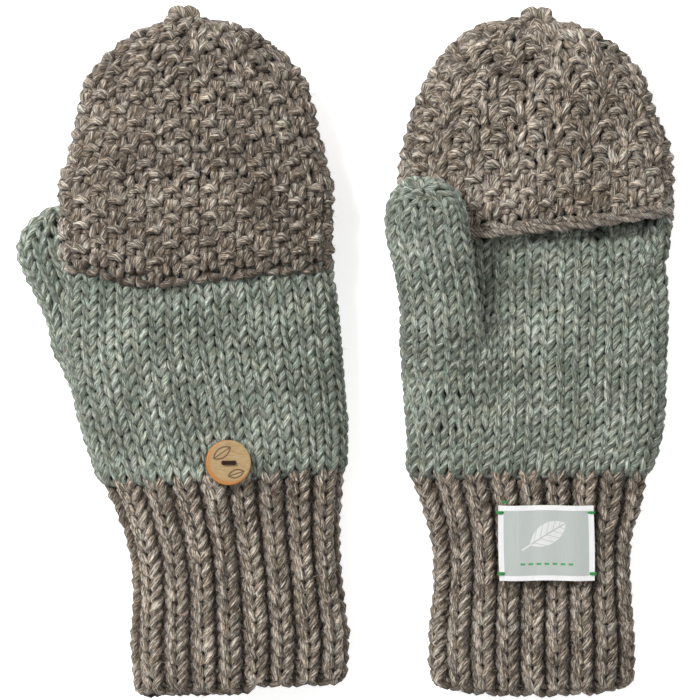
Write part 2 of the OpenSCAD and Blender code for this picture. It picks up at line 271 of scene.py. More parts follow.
def tube_surface(side, stations, inset, low, high, shape=None, n=2.5, rows=120):
    """A surface along Y through stations (y, centre, half, back, palm).

    low and high give its first and last y at shares across and towards the palm. shape changes a ring.
    """
    s = catmull(stations)
    grid = []
    for v in np.arange(rows) / (rows - 1):
        y0, y1 = float(low(0.0, 0.0)), float(high(0.0, 0.0))
        mid = y0 + (y1 - y0) * v
        half, back, palm = columns_at(mid, s, (2, 3, 4))
        a = even_angles(half - inset, max((palm - back) / 2 - inset, 0.5), n)
        sx, sz = ring_shares(a, n)
        ya, yb = low(sx, sz), high(sx, sz)
        y = ya + (yb - ya) * v
        centre, half, back, palm = columns_at(y, s, (1, 2, 3, 4))
        deep = np.maximum((palm - back) / 2 - inset, 0.5)
        ring = np.stack([centre + (half - inset) * sx, y, (back + palm) / 2 + deep * sz], axis=1)
        if shape is not None:
            ring = shape(side, ring, sx, sz, mid)
            split = int(np.argmax((sx > GUSSET_SHARE) & (sz > 0)))
            ring = two_arcs(ring, split, GUSSET_BASE * RING // HAND_COUNT)
        grid.append(ring)
    return Surface(stand(side, np.array(grid)))


def swept_surface(side, stations, inset, n=2.3, rows=120):
    """A surface round a bent centre line, through stations as in THUMB."""
    s = catmull(stations)
    index = np.linspace(0, len(s) - 1, rows)
    s = np.stack([np.interp(index, np.arange(len(s)), column) for column in s.T], axis=1)
    grid = []
    for x, y, d, half, deep, tilt, splay in s:
        half, deep = max(half - inset, 0.6), max(deep - inset, 0.5)
        a = even_angles(half, deep, n)
        sx, sz = half * power(np.cos(a), 2 / n), deep * power(np.sin(a), 2 / n)
        t, w = math.radians(tilt), math.radians(splay)
        across = np.array([math.cos(w), math.sin(w), 0])
        along = np.array([-math.sin(w), math.cos(w), 0])
        deep_dir = -math.sin(t) * along + math.cos(t) * np.array([0, 0, 1.0])
        grid.append(np.array([x, y, d]) + sx[:, None] * across + sz[:, None] * deep_dir)
    return Surface(stand(side, np.array(grid)))


# ---- yarn ----
SIDES = 8                   # round each yarn
SAMPLES = 14                # along each stitch
LOBE = 0.10                 # how far the two plies bulge
UV_STEP = 3.7               # keeps the fibres of neighbouring yarns apart
SHADE_REACH = 2.6           # how deep, in radii, the yarn is before its depth, which sets the painted shade, counts as 1
FIBRE = 0.055               # radius of a loose fibre
SHADE_LINING = 1                  # material slot of the dark sheets of painted shade; the yarn's is 0
SHADE_LINING_THICK = 0.4
STRAND_PITCH = 6.5          # twist of a rope's strands
STRIPS_TOP = 0.94           # of the bake layout: yarn below, the sheets of painted shade above, loose fibres at the very top


def face_uv(*corners):
    """UVs of a grid of four-sided faces, from the (u, v) grids of their corners."""
    return np.stack([np.stack(corner, 2) for corner in corners], axis=2).reshape(-1, 4, 2)


def shell_faces(at, rims):
    """Faces of a thin closed shell: a grid of points at, the same grid again behind it, and the rims."""
    n = at.max() + 1
    corners = [part.ravel() for part in (at[:-1, :-1], at[:-1, 1:], at[1:, 1:], at[1:, :-1])]
    faces = [np.stack(corners, 1), np.stack(corners[::-1], 1) + n]
    for rim in rims:
        faces.append(np.stack([rim[:-1], rim[1:], rim[1:] + n, rim[:-1] + n], 1))
    return np.concatenate(faces)


class Yarn:
    """Collects yarns, dark sheets of painted shade and fibres into one mesh, with the yarn's own UVs and a
    layout for baking.
    """

    def __init__(self):
        self.points, self.faces, self.uv, self.slots, self.depth, self.bake = [], [], [], [], [], []
        self.skin = []
        self.painted_shade_gain = 1.0
        self.count = 0

    def add(self, points, faces, uv, depth, bake, slot=0):
        """bake is the piece's part of the bake layout, or a yarn's length and its faces' places along it."""
        self.points.append(points)
        self.faces.append(faces)
        self.uv.append(uv.reshape(-1, 2))
        self.depth.append(depth)
        self.bake.append(bake)
        self.slots.append(np.full(len(faces), slot))
        self.count += len(points)

    def tube(self, path, normal, radius, pitch, closed=True, phase=0.0, strand=0, lift=0.0, top=0.0):
        """One yarn along a path, twisted once per pitch. lift is how far each point stands out, up to top."""
        p = np.asarray(path, float)
        m = len(p)
        if closed:
            t = unit(np.roll(p, -1, 0) - np.roll(p, 1, 0))
            seg = np.linalg.norm(np.roll(p, -1, 0) - p, axis=1)
        else:
            t = unit(np.gradient(p, axis=0))
            seg = np.concatenate([np.linalg.norm(np.diff(p, axis=0), axis=1), [0]])
        a, b = across_path(normal, t)
        u = np.concatenate([[0], np.cumsum(seg)[:-1]])
        total = max(seg.sum(), 1e-6)
        turns = max(1, round(total / pitch))
        r = np.broadcast_to(np.asarray(radius, float), (m,)).copy()
        if not closed:
            end = np.minimum(np.arange(m), np.arange(m)[::-1])
            r *= np.clip(0.35 + 0.35 * end, 0, 1)
        theta = math.pi + 2 * math.pi * np.arange(SIDES) / SIDES
        twist = 2 * math.pi * (turns * u / total) + phase
        rr = r[:, None] * (1 + LOBE * np.cos(2 * (theta[None, :] - twist[:, None])))
        p = p[:, None, :]
        c, s = np.cos(theta)[None, :, None], np.sin(theta)[None, :, None]
        v = p + rr[..., None] * (c * a[:, None, :] + s * b[:, None, :])
        out = np.broadcast_to(lift, m)[:, None] + ((v - p) * normal[:, None, :]).sum(2)
        # how deep each point lies among the stitches; the wool's material paints shade from it
        depth = np.clip((top - out) / (SHADE_REACH * r.mean()), 0, 2).ravel()
        away = ((v - p) / rr[..., None]).reshape(-1, 3)
        v = v.reshape(-1, 3)
        self.skin.append((v, away, np.repeat(t, SIDES, axis=0), depth))
        ii, kk = np.meshgrid(np.arange(m if closed else m - 1), np.arange(SIDES), indexing="ij")
        here, after, k2 = self.count + ii * SIDES, self.count + (ii + 1) % m * SIDES, (kk + 1) % SIDES
        faces = np.stack([here + kk, here + k2, after + k2, after + kk], axis=2).reshape(-1, 4)
        ue = np.concatenate([u, [total]])
        u0, u1 = ue[ii], ue[ii + 1]
        v0, v1 = kk / SIDES, (kk + 1) / SIDES
        offset, turn = strand * UV_STEP, turns / total
        uv = face_uv((u0 + offset, v0 - u0 * turn), (u0 + offset, v1 - u0 * turn),
                     (u1 + offset, v1 - u1 * turn), (u1 + offset, v0 - u1 * turn))
        self.add(v, faces, uv, depth, (total, u0 / total, u1 / total, v0, v1))

    def fuzz(self, count, rng, reach=3.4, avoid=()):
        """Loose fibres that stand off the yarn, each a thin closed spindle that bends.

        reach is the longest fibre's length. avoid lists rectangles (x, y, half x, half y) to leave bare.
        """
        v, out, along, depth = (np.concatenate([part[k] for part in self.skin]) for k in range(4))
        exposed = depth < 0.7
        for x, y, wide, high in avoid:
            exposed &= (np.abs(v[:, 0] - x) > wide) | (np.abs(v[:, 1] - y) > high)
        pick = rng.choice(np.where(exposed)[0], count)
        v, out, along = v[pick], out[pick], along[pick]
        way = along * (rng.uniform(0.3, 1.0, count) * rng.choice([-1.0, 1.0], count))[:, None]
        way = unit(way + out * rng.uniform(0.3, 0.9, count)[:, None] + rng.normal(0, 0.35, (count, 3)))
        long = (reach * rng.uniform(0.35, 1.0, count))[:, None]
        bend = rng.normal(0, 0.4, (count, 3)) * long
        foot = v - 0.2 * out
        side = unit(np.cross(way, out + rng.normal(0, 0.2, (count, 3))))
        other = np.cross(way, side)
        points = [foot]
        for share, curl in ((0.33, 0.08), (0.7, 0.3)):
            middle = foot + way * long * share + bend * curl
            for turn in (0.0, 2 * math.pi / 3, 4 * math.pi / 3):
                points.append(middle + FIBRE * (math.cos(turn) * side + math.sin(turn) * other))
        points.append(foot + way * long + bend * 0.62)
        shape = []
        for k in range(3):
            n = (k + 1) % 3
            shape += [(0, 1 + n, 1 + k), (1 + k, 1 + n, 4 + n), (1 + k, 4 + n, 4 + k), (4 + k, 4 + n, 7)]
        faces = (self.count + 8 * np.arange(count)[:, None, None] + np.array(shape)[None]).reshape(-1, 3)
        corners = 3 * len(shape)
        tint = np.repeat(rng.uniform(0, 50, (count, 2)), corners, axis=0)
        cell = np.tile(np.array([(0.0, 0.0), (0.9, 0.0), (0.9, 1.0)]), (len(faces), 1))
        cell[:, 0] = (cell[:, 0] + np.repeat(np.arange(count), corners)) / count * 0.98
        cell[:, 1] = 0.9905 + 0.004 * cell[:, 1]
        self.add(np.stack(points, axis=1).reshape(-1, 3), faces, tint, np.zeros(8 * count), cell)

    def sheet(self, outer, inner):
        """A thin closed sheet of painted shade between two grids (rows x cols), whose rows go all the way
        round.
        """
        rows, cols = outer.shape[:2]
        at = np.arange(rows * cols).reshape(rows, cols)
        at = np.column_stack([at, at[:, 0]])
        faces = shell_faces(at, (at[0, ::-1], at[-1]))
        j, i = np.meshgrid(np.arange(rows - 1), np.arange(cols), indexing="ij")
        y0, y1 = (STRIPS_TOP + 0.05 * ((j + k) / (rows - 1)) + 0.005 for k in (0, 1))
        bake = []
        for layer in (0, 1):
            x0, x1 = ((i + k) / cols * 0.49 + layer * 0.5 for k in (0, 1))
            bake.append(face_uv((x0, y0), (x1, y0), (x1, y1), (x0, y1))[:, ::(1, -1)[layer]])
        bake.append(np.broadcast_to((0.995, 0.997), (2 * cols, 4, 2)))
        self.add(np.concatenate([outer.reshape(-1, 3), inner.reshape(-1, 3)]), faces + self.count,
                 np.zeros((len(faces), 4, 2)), np.zeros(2 * rows * cols), np.concatenate(bake), SHADE_LINING)

    def bake_layout(self):
        """UVs for baking: each yarn has a strip on a shelf, and short yarns share a shelf."""
        yarns = [part for part in self.bake if isinstance(part, tuple)]
        width = max(part[0] for part in yarns)
        used, places = [], []
        for length, *_ in yarns:
            k = next((k for k, end in enumerate(used) if end + length * 1.01 <= width * 1.001), len(used))
            if k == len(used):
                used.append(0.0)
            places.append((k, used[k]))
            used[k] += length * 1.01 + width * 0.004
        layout = []
        for part in self.bake:
            if isinstance(part, tuple):
                total, u0, u1, v0, v1 = part
                shelf, start = places.pop(0)
                x0, x1 = ((start + u * total) / (width * 1.02) for u in (u0, u1))
                y0, y1 = ((shelf + 0.06 + 0.88 * v) / len(used) * STRIPS_TOP for v in (v0, v1))
                part = face_uv((x0, y0), (x0, y1), (x1, y1), (x1, y0))
            layout.append(part.reshape(-1, 2))
        return np.concatenate(layout)

    def build(self, name, materials):
        """The mesh, in metres."""
        corners = np.concatenate([faces.ravel() for faces in self.faces])
        sizes = np.concatenate([np.full(len(faces), faces.shape[1]) for faces in self.faces])
        mesh = bpy.data.meshes.new(name)
        mesh.vertices.add(self.count)
        mesh.vertices.foreach_set("co", (np.concatenate(self.points) * MM).astype(np.float32).ravel())
        mesh.loops.add(len(corners))
        mesh.loops.foreach_set("vertex_index", corners.astype(np.int32))
        mesh.polygons.add(len(sizes))
        mesh.polygons.foreach_set("loop_start", (np.cumsum(sizes) - sizes).astype(np.int32))
        mesh.polygons.foreach_set("material_index", np.concatenate(self.slots).astype(np.int32))
        mesh.polygons.foreach_set("use_smooth", np.ones(len(sizes), bool))
        mesh.update(calc_edges=True)
        for layer, uv in (("Yarn", np.concatenate(self.uv)), ("OFBake", self.bake_layout())):
            mesh.uv_layers.new(name=layer).data.foreach_set("uv", uv.astype(np.float32).ravel())
        mesh.uv_layers["Yarn"].active_render = True
        # the depth, times the gain, is how much painted shade the wool's material mixes in
        depth = mesh.attributes.new("depth", "FLOAT", "POINT")
        depth.data.foreach_set("value", (self.painted_shade_gain * np.concatenate(self.depth)).astype(np.float32))
        for material in materials:
            mesh.materials.append(material)
        return link(bpy.data.objects.new(name, mesh))


def link(obj):
    bpy.context.scene.collection.objects.link(obj)
    return obj


def kinds(kind, rows, counts):
    """+1 for a knit stitch and -1 for a purl stitch, row by row."""
    out = []
    for j in range(rows + 1):
        i = np.arange(counts[min(j, rows - 1)])
        purl = {"plain": 0 * i, "rib": i % 2, "moss": (i + j) % 2}[kind]
        out.append(np.where(purl == 0, 1.0, -1.0))
    return out


def runs_of(keep):
    """Unbroken runs of kept stitches round a row, or None for a whole row."""
    if keep.all():
        return [None]
    n = len(keep)
    runs = [[]]
    for q in (np.arange(n) + int(np.argmax(~keep))) % n:
        if keep[q]:
            runs[-1].append(q)
        else:
            runs.append([])
    return [run for run in runs if len(run) > 1]


def rib_wave(columns):
    """0 on a knit rib, 2 in the furrow beside it."""
    return 1 - np.cos(math.pi * (columns - 0.5))


def knit(yarn, surface, rows, counts, kind, rng, radius, reach, bow, relief, pitch, jitter=0.05, shear=0.0,
         tuck=0.0, place=None, clip=None, rib=None, samples=SAMPLES):
    """Rows of interlocked loops over a surface.

    reach is how far a loop's head and foot stand from its middle, in rows. bow widens the loop's head,
    relief moves it out of the surface and back, shear and tuck lean it, and jitter disturbs it, most at
    its head. place gives u from a column, and clip says which stitches of a row are kept.
    """
    types = kinds(kind, rows, counts)
    for j in range(rows):
        n = counts[j]
        tau = np.arange(n * samples) / samples
        i = np.floor(tau).astype(int)
        f = tau - i - 0.5
        t = 2 * math.pi * f
        own = types[j][i % n]
        above = types[j + 1][np.minimum((i * len(types[j + 1]) / n).astype(int), len(types[j + 1]) - 1)]
        beside = types[j][(i + np.sign(f).astype(int)) % n]
        at = np.abs(np.degrees(t))
        w = smoothstep(70, 110, at)
        s = above * (1 - w) + own * w
        w = smoothstep(135, 180, at)
        s = s * (1 - w) + 0.5 * (own + beside) * w
        free = 0.5 + 0.5 * np.cos(t)
        jx, jy, jz, jh = (rng.normal(0, jitter, n)[i % n] for _ in range(4))
        x = f + bow * np.sin(2 * t) * (1 + 0.6 * jh) + shear * np.cos(t) + jx * free
        y = reach * np.cos(t) * (1 + 0.8 * jh) + 0.7 * jy * free
        z = relief * s * (-np.cos(2 * t)) + relief * 1.5 * jz * np.sin(t) ** 2 - tuck * s * np.sin(t)
        col = i + 0.5 + x
        if rib is not None:
            depth, squeeze = rib
            z = z - 0.5 * depth * rib_wave(col)
            col = col + squeeze / math.pi * np.sin(math.pi * (col - 0.5))
        u = col / n if place is None else place(col, n)
        p, normals = surface.at(u, (j + 0.5 + y) / rows)
        path = p + normals * z[:, None]
        r = radius * (1 + 0.05 * np.sin(tau * 2.1 + j * 1.7) + 0.03 * rng.normal(0, 1, n)[i % n])
        keep = np.ones(n, bool) if clip is None else clip(j, np.arange(n) / n + 0.5 / n)
        for run in runs_of(keep):
            if run is None:
                k = np.arange(n * samples)
            else:
                k = np.concatenate([q * samples + np.arange(samples) for q in run])
            yarn.tube(path[k], normals[k], r[k], pitch, closed=run is None, phase=j * 1.3, strand=j,
                      lift=z[k], top=relief + radius)


def shade_lining(yarn, surface, depth, v0=0.0, v1=1.0, rows=60, cols=128, rib=None, count=0):
    """A dark surface behind the stitches that closes the gaps between them; its dark colour is painted shade.
    """
    uu, vv = np.meshgrid(np.arange(cols) / cols, np.linspace(v0, v1, rows))
    p, n = surface.at(uu, vv)
    d = np.full(uu.shape, float(depth))
    if rib is not None:
        d = d + 0.5 * rib[0] * rib_wave(uu * count)
    yarn.sheet(p - n * d[..., None], p - n * (d[..., None] + SHADE_LINING_THICK))


def rope(yarn, path, normals, offset, radius, pitch, flat=1.0):
    """Two strands of yarn wound round a path."""
    p = np.asarray(path, float)
    t = np.gradient(p, axis=0)
    step = np.linalg.norm(t, axis=1)
    along = np.concatenate([[0], np.cumsum(0.5 * (step[1:] + step[:-1]))])
    a, b = across_path(normals, unit(t))
    for k in range(2):
        w = 2 * math.pi * (along / pitch + k / 2)
        centre = p + offset * (flat * np.cos(w)[:, None] * a + np.sin(w)[:, None] * b)
        yarn.tube(centre, a, radius, STRAND_PITCH, closed=False, strand=5 * k, lift=offset * np.cos(w),
                  top=offset + radius)


def settle(piece, node, body):
    """The piece stands for a CAD node, which it hides, and rides on a body."""
    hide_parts(node)
    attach(piece, body)


# ---- materials ----
def maths(operation, swapped=False):
    """A method of Value that adds one Math node. Swapped, the value is its second operand."""
    def method(value, other=0.0):
        pair = (other, value) if swapped else (value, other)
        return value.nodes.math(operation, *pair)

    return method


class Value:
    """A shader socket that can be used in arithmetic."""

    def __init__(self, nodes, socket):
        self.nodes, self.socket = nodes, socket

    __add__, __radd__ = maths("ADD"), maths("ADD", True)
    __sub__, __rsub__ = maths("SUBTRACT"), maths("SUBTRACT", True)
    __mul__, __rmul__ = maths("MULTIPLY"), maths("MULTIPLY", True)
    __truediv__, __abs__ = maths("DIVIDE"), maths("ABSOLUTE")
    __lt__, __gt__ = maths("LESS_THAN"), maths("GREATER_THAN")
    least, most = maths("MINIMUM"), maths("MAXIMUM")
    sin, cos, sqrt = maths("SINE"), maths("COSINE"), maths("SQRT")


class Nodes:
    """A material under construction."""

    def __init__(self, name):
        self.material = bpy.data.materials.new(name)
        self.material.use_nodes = True
        self.tree = self.material.node_tree
        self.tree.nodes.clear()
        out = self.tree.nodes.new("ShaderNodeOutputMaterial")
        self.bsdf = self.tree.nodes.new("ShaderNodeBsdfPrincipled")
        self.tree.links.new(self.bsdf.outputs[0], out.inputs[0])

    def add(self, kind, inputs, output=0, **settings):
        """Adds a node and gives its output."""
        node = self.tree.nodes.new(kind)
        for name, value in settings.items():
            setattr(node, name, value)
        self.put(node, inputs)
        return Value(self, node.outputs[output])

    def put(self, node, inputs):
        for key, value in inputs.items():
            if isinstance(value, Value):
                self.tree.links.new(value.socket, node.inputs[key])
            else:
                node.inputs[key].default_value = value

    def math(self, operation, *operands):
        return self.add("ShaderNodeMath", dict(enumerate(operands)), operation=operation)

    def mix(self, f, a, b, blend="MIX"):
        a, b = (colour if isinstance(colour, Value) else (*colour, 1) for colour in (a, b))
        return self.add("ShaderNodeMix", {"Factor": f, 6: a, 7: b}, 2, data_type="RGBA", blend_type=blend)

    def noise(self, vector, scale, detail=2.0, rough=0.5):
        inputs = {"Vector": vector, "Scale": scale, "Detail": detail, "Roughness": rough}
        return self.add("ShaderNodeTexNoise", inputs, "Fac")

    def ramp(self, f, stops):
        colour = self.add("ShaderNodeValToRGB", {"Fac": f}, "Color")
        elements = colour.socket.node.color_ramp.elements
        while len(elements) < len(stops):
            elements.new(0.5)
        for element, (at, shade) in zip(elements, stops):
            element.position = at
            element.color = (*shade, 1)
        return colour

    def bump(self, height, strength, distance, **under):
        inputs = {"Strength": strength, "Distance": distance, "Height": height, **under}
        return self.add("ShaderNodeBump", inputs)

    def place(self):
        return self.add("ShaderNodeTexCoord", {}, "Object")

    def uv(self, layer):
        return self.add("ShaderNodeUVMap", {}, uv_map=layer)

    def parts(self, vector):
        """The X and Y of a vector."""
        x = self.add("ShaderNodeSeparateXYZ", {0: vector})
        return x, Value(self, x.socket.node.outputs[1])

    def surface(self, colour, roughness, **inputs):
        self.put(self.bsdf, {"Base Color": colour, "Roughness": roughness})
        self.put(self.bsdf, {key.replace("_", " "): value for key, value in inputs.items()})
        return self.material


def yarn_material(name, stops, tint, contrast, shade, painted_shade_weight):
    """Heathered two-ply wool. The fibres run along the yarn and turn with its twist. Painted shade darkens it
    where it lies deep and between its plies.
    """
    k = Nodes(name)
    along, turn = k.parts(k.uv("Yarn"))
    angle = turn * (2 * math.pi)
    c, s = angle.cos(), angle.sin()

    def streaks(stretch, spread, scale, detail):
        at = k.add("ShaderNodeCombineXYZ", {0: along * stretch, 1: c * spread, 2: s * spread})
        return k.noise(at, scale, detail, 0.6)

    fibre = streaks(0.20, 1.7, 1.6, 2.0)
    fine = streaks(0.42, 2.7, 1.7, 2.5)
    heather = (fibre * 0.5 + fine * 0.5 - 0.5) * contrast + 0.5
    colour = k.ramp(heather + (k.noise(k.place(), 60.0) - 0.5) * 0.7, stops)
    colour = k.mix(k.noise(k.place(), 140.0, 1.0) * 0.45, colour, tint, "MULTIPLY")
    hue = k.ramp(k.noise(k.place(), 260.0, 2.0, 0.6),
                 [(0.30, (0.90, 1.0, 1.0)), (0.5, (1.0, 1.0, 1.0)), (0.70, (1.0, 0.96, 0.88))])
    colour = k.mix(1.0, colour, hue, "MULTIPLY")
    # painted shade: where the yarn lies deep among the stitches, and in the grooves between its plies, its
    # colour goes towards the shade colour
    deep = k.add("ShaderNodeAttribute", {}, "Fac", attribute_name="depth")
    ply = (angle * 2.0).cos()
    colour = k.mix(k.math("SMOOTH_MIN", deep, 1.2, 0.2) * painted_shade_weight + (1.0 - ply) * 0.09, colour, shade)
    normal = k.bump(fibre * 0.6 + fine * 0.5, 0.9, 0.0007, Normal=k.bump(ply, 0.8, 0.0005))
    return k.surface(colour, fine * 0.15 + 0.80, Normal=normal, Specular_IOR_Level=0.2, Sheen_Weight=0.25,
                     Sheen_Roughness=0.5)


# the dark sheets behind the stitches: painted shade, with a little random tone
def shade_lining_material(name, colour, light):
    k = Nodes(name)
    f = k.noise(k.place(), 900.0, 3.0, 0.6)
    return k.surface(k.ramp(f, [(0.3, colour), (0.7, light)]), f * 0.1 + 0.88, Normal=k.bump(f, 0.8, 0.0006),
                     Specular_IOR_Level=0.1)


def thread_material(name, dark, light):
    k = Nodes(name)
    wave = k.add("ShaderNodeTexWave", {"Vector": k.place(), "Scale": 900.0, "Distortion": 1.5}, "Fac",
                 wave_type="BANDS", bands_direction="DIAGONAL")
    return k.surface(k.ramp(wave, [(0.1, dark), (0.8, light)]), wave * 0.15 + 0.6,
                     Normal=k.bump(wave, 0.7, 0.0002), Specular_IOR_Level=0.2, Sheen_Weight=0.08)


def button_material(side):
    """Tan wood, its edge scorched orange brown, with two small leaves burnt into the face as fine lines."""
    name = f"{SIDE_NAMES[side]}_button"
    k = Nodes(f"{name}_wood")
    grain_at = k.add("ShaderNodeMapping", {"Vector": k.place(), "Scale": (60.0, 340.0, 60.0),
                                           "Rotation": (0.0, 0.0, 0.5)})
    grain = k.noise(grain_at, 6.0, 4.0, 0.55)
    wood = k.ramp(grain, [(0.25, (0.30, 0.19, 0.083)), (0.5, (0.385, 0.267, 0.134)),
                          (0.75, (0.44, 0.33, 0.183))])
    wood = k.mix(k.noise(grain_at, 30.0) * 0.25, wood, (0.70, 0.58, 0.44), "MULTIPLY")
    lowest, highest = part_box(name)
    middle = (lowest + highest) / 2
    x, y = k.parts(k.place())
    x, y = (x - middle.x) / MM, (y - middle.y) / MM

    def length(px, py):
        return (px * px + py * py).sqrt()

    def line(distance, width):
        return 1.0 - (abs(distance) / width).least(1.0)

    def leaf(cx, cy, size, turn):
        """An outline of two arcs with a vein between its tips."""
        lx, ly = turned(x - cx, y - cy, turn)
        radius = size * 1.25
        rise = radius * 0.62
        outline = (length(lx, ly + rise) - radius).most(length(lx, ly - rise) - radius)
        return line(outline, 0.46).most(line(ly, 0.36) * (outline < 0.0))

    marks = leaf(-2.4, 3.9, 4.0, 0.6).most(leaf(3.2, -4.4, 3.2, 0.3))
    scorch = ((length(x - 0.75, y - 0.75) - 7.9) * 1.6).most(0.0).least(1.0)
    colour = k.mix(scorch * 0.85, wood, (0.42, 0.16, 0.035))
    colour = k.mix(marks * 0.95, colour, (0.045, 0.014, 0.006))
    normal = k.bump(grain * 0.3 - marks, 0.5, 0.0003)
    return k.surface(colour, grain * 0.2 + 0.42, Normal=normal, Specular_IOR_Level=0.35)


def turned(dx, dy, angle):
    """Coordinates in a frame turned by an angle."""
    c, s = math.cos(angle), math.sin(angle)
    return dx * c + dy * s, dy * c - dx * s


def label_material():
    """A woven field with a pale border, one slanted leaf with its veins and stalk, and a line of dashes.

    Places are in mm from the label's lower left corner.
    """
    k = Nodes("woven_label")
    cloth = k.uv("Cloth")
    px, py = k.parts(cloth)
    warp = (px * (2 * math.pi / 0.5)).sin()
    weft = (py * (2 * math.pi / 0.42)).sin()
    edge_x, edge_y = px.least(LABEL_W - px), py.least(LABEL_H - py)
    border = (edge_x - 0.2).least(edge_y) < 2.0

    def disc(x, y, radius):
        return (x * x + y * y).sqrt() < radius

    lx, ly = turned(px - 19.6, py - 18.6, 0.55)
    blade = disc(lx, ly + 6.4, 10.6) * disc(lx, ly - 6.4, 10.6)
    ribs = ((abs(ly) - lx) * (2 * math.pi / 3.0)).sin() > 0.93
    veins = (abs(ly) < 0.28).most(ribs)
    stalk = (abs(ly) < 0.32) * (abs(lx + 10.0) < 2.2)
    motif = (blade * (1.0 - veins)).most(stalk)
    dash = ((px - 19.0) * (2 * math.pi / 3.2)).cos() > -0.3
    dashes = (abs(py - 6.6) < 0.4) * dash * (edge_x > 8.5)
    colour = k.mix((warp + 1.0) * 0.5, (0.42, 0.455, 0.43), (0.53, 0.56, 0.535))
    colour = k.mix(motif, colour, (0.72, 0.715, 0.715))
    colour = k.mix(dashes, colour, (0.06, 0.33, 0.09))
    colour = k.mix(border, colour, (0.83, 0.82, 0.82))
    grey = k.noise(cloth, 3.0, 3.0, 0.6)
    colour = k.mix(grey * 0.18, colour, (0.6, 0.6, 0.6), "MULTIPLY")
    return k.surface(colour, grey * 0.1 + 0.72, Normal=k.bump(warp * weft, 0.5, 0.00015), Sheen_Weight=0.15)


# the last two values of each wool are its painted shade colour and how much of it the yarn's depth mixes in
MARL = yarn_material(
    "marl_wool", [(0.05, (0.050, 0.037, 0.027)), (0.36, (0.165, 0.136, 0.109)), (0.62, (0.35, 0.302, 0.254)),
                  (0.95, (0.80, 0.73, 0.65))], (0.96, 0.80, 0.60), 4.4, (0.036, 0.021, 0.012), 0.77)
SAGE = yarn_material(
    "sage_wool", [(0.05, (0.082, 0.090, 0.070)), (0.38, (0.185, 0.203, 0.168)), (0.62, (0.330, 0.347, 0.298)),
                  (0.95, (0.68, 0.69, 0.62))], (0.86, 1.05, 0.90), 3.7, (0.021, 0.028, 0.016), 0.95)
# painted shade: the dark sheets behind the stitches of each wool
MARL_SHADE_LINING = shade_lining_material("marl_shade_lining", (0.040, 0.025, 0.016), (0.080, 0.055, 0.038))
SAGE_SHADE_LINING = shade_lining_material("sage_shade_lining", (0.050, 0.066, 0.044), (0.10, 0.12, 0.088))
BROWN_THREAD = thread_material("brown_thread", (0.010, 0.003, 0.002), (0.038, 0.014, 0.009))
GREEN_THREAD = thread_material("green_thread", (0.012, 0.13, 0.028), (0.06, 0.38, 0.10))


# ---- the knitted pieces ----
PLAIN = dict(radius=1.48, reach=0.88, bow=0.27, relief=1.25, pitch=17.0)
LEAN = (dict(shear=0.055, tuck=0.25), dict(shear=0.015, tuck=0.10))
MOSS = dict(radius=1.8, reach=0.86, bow=0.245, relief=2.3, pitch=20.0)
RIBBED = dict(radius=1.72, reach=0.90, bow=0.265, relief=1.45, pitch=24.0)
TUBES = dict(radius=1.4, reach=0.82, bow=0.2, relief=0.8, pitch=9.0)
# How far the middle of the yarn lies inside each kind of fabric
INSET_PLAIN = 2.4
INSET_MOSS = 3.0
INSET_RIB = 2.6
INSET_THUMB = 1.5
INSET_TUBE = 1.8

CUFF_COUNT, CUFF_ROWS = 34, 17
CAP_COUNT, CAP_ROWS = 32, 20
RIB = (4.1, 0.69)           # depth of the furrows, and how far the ribs close over them
CAST_ON = 300               # points along the edge of the hem


def wrist_line(side):
    """Where the cuff meets the hand."""
    if side == RIGHT:
        return lambda sx, sz: -49.2 + 2.6 * sx + 0.6 * sx * sx
    return lambda sx, sz: -47.8 + 0.3 * sx


def hem_line(side):
    def right(sx, sz):
        low = -134.4 - 1.5 * smoothstep(-0.2, 0.3, np.asarray(sz, float))
        return low + (-131.6 - low) * smoothstep(0.0, 0.16, np.asarray(sx, float))

    def left(sx, sz):
        return -135.6 + 3.4 * np.abs(np.asarray(sx, float)) ** 3

    return (right, left)[side]


def knuckle_line(side):
    rise = (0.0, 9.0)[side]
    return lambda sx, sz: 45.0 + rise * smoothstep(0.72, 0.98, np.asarray(sx, float))


def clear_of(side):
    """Places that loose fibres keep away from: the button, and the label on the left cuff."""
    spots = [(*stand(side, BUTTON_AT[side])[:2], 11.5, 11.5)]
    if side == LEFT:
        spots.append((*stand(side, (*LABEL_AT, 0.0))[:2], 22.5, 18.5))
    return spots


def make_cuff(side, rng):
    """Ribbing with a cast-on rope at its hem."""
    name = SIDE_NAMES[side]
    y = Yarn()
    wrist = wrist_line(side)
    surface = tube_surface(side, CUFF[side], INSET_RIB, hem_line(side), lambda a, b: wrist(a, b) + 0.6)
    counts = [CUFF_COUNT] * CUFF_ROWS
    knit(y, surface, CUFF_ROWS, counts, "rib", rng, rib=RIB, jitter=0.035, samples=12, **RIBBED)
    shade_lining(y, surface, 1.9, v0=0.012, rib=RIB, count=CUFF_COUNT, rows=36, cols=204)
    u = np.arange(CAST_ON) / CAST_ON
    p, n = surface.at(u, np.full(CAST_ON, 0.002))
    sunk = 0.9 + 0.42 * RIB[0] * rib_wave(u * CUFF_COUNT)
    rope(y, p - n * sunk[:, None], n, 0.95, 1.25, 11.0)
    y.fuzz(1500, rng, avoid=clear_of(side))
    settle(y.build(f"{name}_cuff_knit", [MARL, MARL_SHADE_LINING]), f"{name}_cuff", f"{name}_mitten")


def place_gusset(col, n):
    """Extra columns go into the gusset only, so that the rest of the hand keeps straight columns."""
    inside = GUSSET_BASE + n - HAND_COUNT
    share = GUSSET_BASE / HAND_COUNT
    beyond = share + (col - inside) / (n - inside) * (1 - share)
    return np.select([col < 0, col < inside], [col / HAND_COUNT, col / inside * share], beyond)


